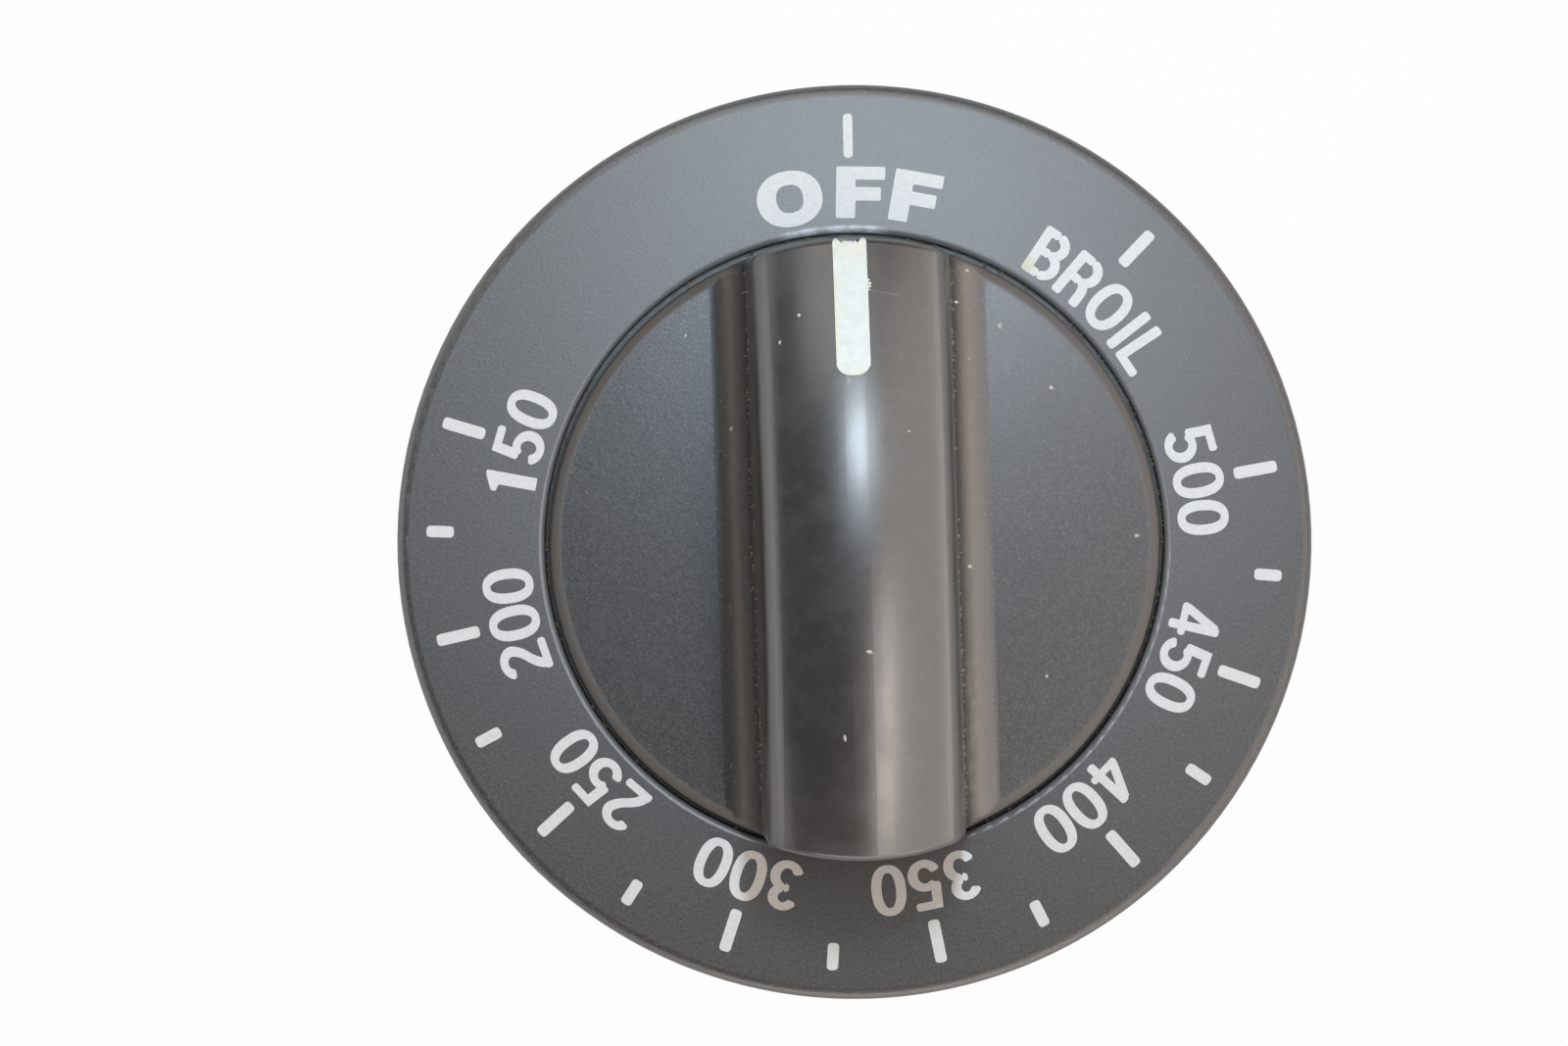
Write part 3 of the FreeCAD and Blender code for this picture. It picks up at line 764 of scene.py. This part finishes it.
def seam_grime(material):
    rng = random.Random(GRIME_SEED)
    work = bmesh.new()
    for _ in range(GRIME_COUNT):
        angle = rng.uniform(0, math.tau)
        sample = Vector((math.cos(angle) * GRIME_PATCHES, math.sin(angle) * GRIME_PATCHES, GRIME_LAYER))
        if noise.noise(sample) < rng.uniform(*GRIME_LIMITS):
            continue
        size = rng.uniform(*GRIME_SIZES)
        radius = POCKET_RADIUS - size / 2 - GRIME_CLEARANCE
        place = (radius * math.sin(angle), radius * math.cos(angle), rng.uniform(*GRIME_HEIGHTS))
        add_crumb(work, place, size, GRIME_FLATNESS, rng)
    new_piece("seam_grime", work, material, "skirt")


def grip_dust(material):
    rng = random.Random(DUST_SEED)
    work = bmesh.new()
    surface = surface_of("knob_grip")
    for _ in range(DUST_COUNT):
        hand = rng.choice((-1, 1))
        if rng.random() < CORNER_SHARE:
            x = hand * rng.uniform(*CORNER_REACH)
            size = rng.uniform(*CORNER_SIZES)
        else:
            x = hand * rng.uniform(*THIN_REACH)
            size = rng.uniform(*THIN_SIZES)
        y = rng.uniform(-1, 1) * math.sqrt(DUST_RADIUS ** 2 - x ** 2)
        place, normal = drop(surface, x, y)
        add_crumb(work, place + normal * size * DUST_LIFT, size, DUST_FLATNESS, rng)
    new_piece("grip_dust", work, material, "grip")


def grip_lint(material):
    rng = random.Random(LINT_SEED)
    work = bmesh.new()
    surface = surface_of("knob_grip")
    for x, y, size in LINT_PLACES:
        place, normal = drop(surface, x, y)
        add_crumb(work, place + normal * size * LINT_LIFT, size, LINT_FLATNESS, rng, detail=2)
    new_piece("grip_lint", work, material, "grip")


def pointer_smears(material):
    rng = random.Random(SMEAR_SEED)
    work = bmesh.new()
    surface = surface_of("knob_grip")
    for x, y, size in EDGE_SMEARS:
        rim, _ = drop(surface, EDGE_RIM_X, y)
        add_crumb(work, (x, y, rim.z - EDGE_SINK), size, EDGE_FLATNESS, rng, detail=2)
    for step in NOTCH_STEPS:
        add_crumb(work, (NOTCH_PITCH * step, NOTCH_Y, NOTCH_Z), NOTCH_SIZE, NOTCH_FLATNESS, rng, detail=2)
    new_piece("pointer_smears", work, material, "grip")


# Stage: sizes and distances in metres, and how much of the floor is seen as plain white
FLOOR_HALF = 3.0
FLOOR_HEIGHT = -0.0002
FLOOR_GLOW = 0.97
NEAR_LAMP = 0.1158
FAR_LAMP = 0.7
LAMP_TARGET = Vector((0, 0, 0.015))

# Colours of the light, and the nodes that some lamps are kept to
COOL = (0.72, 0.87, 1.0)
PALE = (1.0, 0.97, 0.94)
WARM = (1.0, 0.91, 0.85)
GRIP_GLINT = (0.77, 0.89, 1.0)
GRIP_HALO = (0.66, 0.82, 1.0)
DIAL_HALO = (0.80, 0.90, 1.0)
ROOM_LIGHT = (1.0, 0.87, 0.76)
MIRRORED_ROOM = (1.0, 0.84, 0.76)
GRIP_NODES = ("knob_grip", "pointer_fill")
DIAL_NODES = ("dial_skirt",)


def make_floor():
    work = bmesh.new()
    bmesh.ops.create_grid(work, x_segments=1, y_segments=1, size=FLOOR_HALF)
    mesh = bpy.data.meshes.new("floor")
    work.to_mesh(mesh)
    work.free()
    floor = bpy.data.objects.new("floor", mesh)
    bpy.context.scene.collection.objects.link(floor)
    floor.location.z = FLOOR_HEIGHT
    material, tree, shader = new_material("floor_white")
    place = add_node(tree, "ShaderNodeTexCoord").outputs["Object"]
    paper = ramp(tree, grain(tree, place, scale=40.0), 0.3, 0.7)
    tree.links.new(blend(tree, paper, *FLOOR_COLOURS), shader.inputs["Base Color"])
    shader.inputs["Roughness"].default_value = 0.9
    shader.inputs["Specular IOR Level"].default_value = 0.1
    glow = add_node(tree, "ShaderNodeEmission", {"Color": (*WHITE, 1.0), "Strength": 1.0})
    ray = add_node(tree, "ShaderNodeLightPath")
    seen = most(tree, ray.outputs["Is Camera Ray"], ray.outputs["Is Glossy Ray"])
    sockets = {0: times(tree, seen, FLOOR_GLOW), 1: shader.outputs[0], 2: glow.outputs[0]}
    mixed = add_node(tree, "ShaderNodeMixShader", sockets)
    tree.links.new(mixed.outputs[0], tree.nodes["Material Output"].inputs["Surface"])
    put_material(floor, material)


def make_camera():
    data = bpy.data.cameras.new("camera")
    data.lens = CAMERA_LENS
    data.sensor_width = CAMERA_SENSOR
    data.clip_start = CAMERA_NEAREST * MM
    camera = bpy.data.objects.new("camera", data)
    bpy.context.scene.collection.objects.link(camera)
    look = (CAMERA_TARGET - CAMERA_PLACE).normalized()
    roll = math.radians(CAMERA_ROLL)
    right = look.cross(Vector((math.sin(roll), math.cos(roll), 0.0))).normalized()
    up = right.cross(look)
    turn = Matrix((right, up, -look)).transposed().to_4x4()
    camera.matrix_world = Matrix.Translation(CAMERA_PLACE * MM) @ turn
    bpy.context.scene.camera = camera


def background(tree, colour, strength):
    inputs = {"Color": (*colour, 1.0), "Strength": strength}
    return add_node(tree, "ShaderNodeBackground", inputs).outputs[0]


def make_world():
    world = bpy.data.worlds.new("studio")
    bpy.context.scene.world = world
    world.use_nodes = True
    tree = world.node_tree
    tree.nodes.clear()
    ray = add_node(tree, "ShaderNodeLightPath").outputs
    room = background(tree, ROOM_LIGHT, strength=0.53)
    dark = background(tree, MIRRORED_ROOM, strength=0.08)
    white = background(tree, WHITE, strength=1.0)
    lit = add_node(tree, "ShaderNodeMixShader", {0: ray["Is Glossy Ray"], 1: room, 2: dark})
    seen = add_node(tree, "ShaderNodeMixShader", {0: ray["Is Camera Ray"], 1: lit.outputs[0], 2: white})
    output = add_node(tree, "ShaderNodeOutputWorld")
    tree.links.new(seen.outputs[0], output.inputs["Surface"])


def softbox(name, lean, size, radiance, colour, distance=FAR_LAMP, diffuse=False, glossy=True, only=()):
    # Rectangular panel that leans from overhead to +X and +Y by the degrees in lean. Its size is in
    # degrees as seen from the part. Where nodes are named in only, the panel lights nothing else.
    data = bpy.data.lights.new(name, "AREA")
    data.shape = "RECTANGLE"
    data.size = 2 * distance * math.tan(math.radians(size[0] / 2))
    data.size_y = 2 * distance * math.tan(math.radians(size[1] / 2))
    data.energy = radiance * math.pi * data.size * data.size_y
    data.color = colour
    lamp = bpy.data.objects.new(name, data)
    bpy.context.scene.collection.objects.link(lamp)
    away = Vector((math.tan(math.radians(lean[0])), math.tan(math.radians(lean[1])), 1.0)).normalized()
    across = Vector((0.0, 1.0, 0.0)).cross(away).normalized()
    turn = Matrix((across, away.cross(across), away)).transposed().to_4x4()
    lamp.matrix_world = Matrix.Translation(LAMP_TARGET + away * distance) @ turn
    lamp.visible_camera = False
    lamp.visible_diffuse = diffuse
    lamp.visible_glossy = glossy
    if only:
        lit = bpy.data.collections.new(name + "_lit")
        for node in only:
            lit.objects.link(nodes[node])
        lamp.light_linking.receiver_collection = lit


def make_lights():
    softbox("key", lean=(6.0, 19.7), size=(4.2, 10.0), radiance=142.0, colour=COOL,
            distance=NEAR_LAMP, diffuse=True, glossy=False)
    softbox("grip_glint", lean=(3.4, 17.9), size=(5.4, 8.6), radiance=78.0, colour=GRIP_GLINT,
            distance=NEAR_LAMP, only=GRIP_NODES)
    softbox("grip_halo", lean=(-1.0, 16.0), size=(17.0, 34.0), radiance=1.8, colour=GRIP_HALO,
            distance=NEAR_LAMP, only=GRIP_NODES)
    softbox("dial_glint", lean=(2.0, 19.0), size=(6.0, 12.0), radiance=36.0, colour=COOL,
            distance=NEAR_LAMP, only=DIAL_NODES)
    softbox("dial_halo", lean=(3.0, 17.0), size=(38.0, 46.0), radiance=2.3, colour=DIAL_HALO,
            distance=NEAR_LAMP, only=DIAL_NODES)
    softbox("dial_panel", lean=(52.0, -15.0), size=(60.0, 106.0), radiance=1.5, colour=WARM, only=DIAL_NODES)
    softbox("warm_inner", lean=(17.0, -12.0), size=(10.0, 90.0), radiance=1.8, colour=WARM, only=GRIP_NODES)
    softbox("warm_panel", lean=(52.0, -15.0), size=(60.0, 106.0), radiance=2.2, colour=WARM, only=GRIP_NODES)
    softbox("warm_strip", lean=(18.0, -32.0), size=(7.0, 42.0), radiance=10.0, colour=WARM, only=GRIP_NODES)
    softbox("right_low", lean=(84.0, 0.0), size=(10.0, 90.0), radiance=3.4, colour=WARM, only=GRIP_NODES)
    softbox("left_low", lean=(-78.0, 0.0), size=(22.0, 90.0), radiance=1.7, colour=PALE)
    softbox("back_panel", lean=(-12.0, 45.0), size=(46.0, 36.0), radiance=2.2, colour=PALE)
    softbox("front_low", lean=(8.0, -78.0), size=(60.0, 16.0), radiance=4.0, colour=WARM)


for solid, smooth_angle in SMOOTH_ANGLES.items():
    soften_shading(solid, smooth_angle)
put_material(nodes["knob_grip"], grip_material())
put_material(nodes["dial_skirt"], dial_material())
pointer_white = pointer_material()
put_material(nodes["pointer_fill"], pointer_white)
put_material(nodes["shaft_spring"], steel_material("spring_steel", SPRING_COLOUR, SPRING_ROUGHNESS))
put_material(nodes["clamp_screws"], steel_material("screw_steel", SCREW_COLOUR, SCREW_ROUGHNESS))
dial_print(ink_material())
seam_grime(crumb_material("seam_dirt", GRIME_COLOUR))
grip_dust(crumb_material("dust", tint(DUST_COLOUR, 1.6)))
grip_lint(crumb_material("lint", LINT_COLOUR))
pointer_smears(pointer_white)
make_floor()
make_camera()
make_world()
make_lights()
bpy.context.scene.view_settings.view_transform = "Standard"
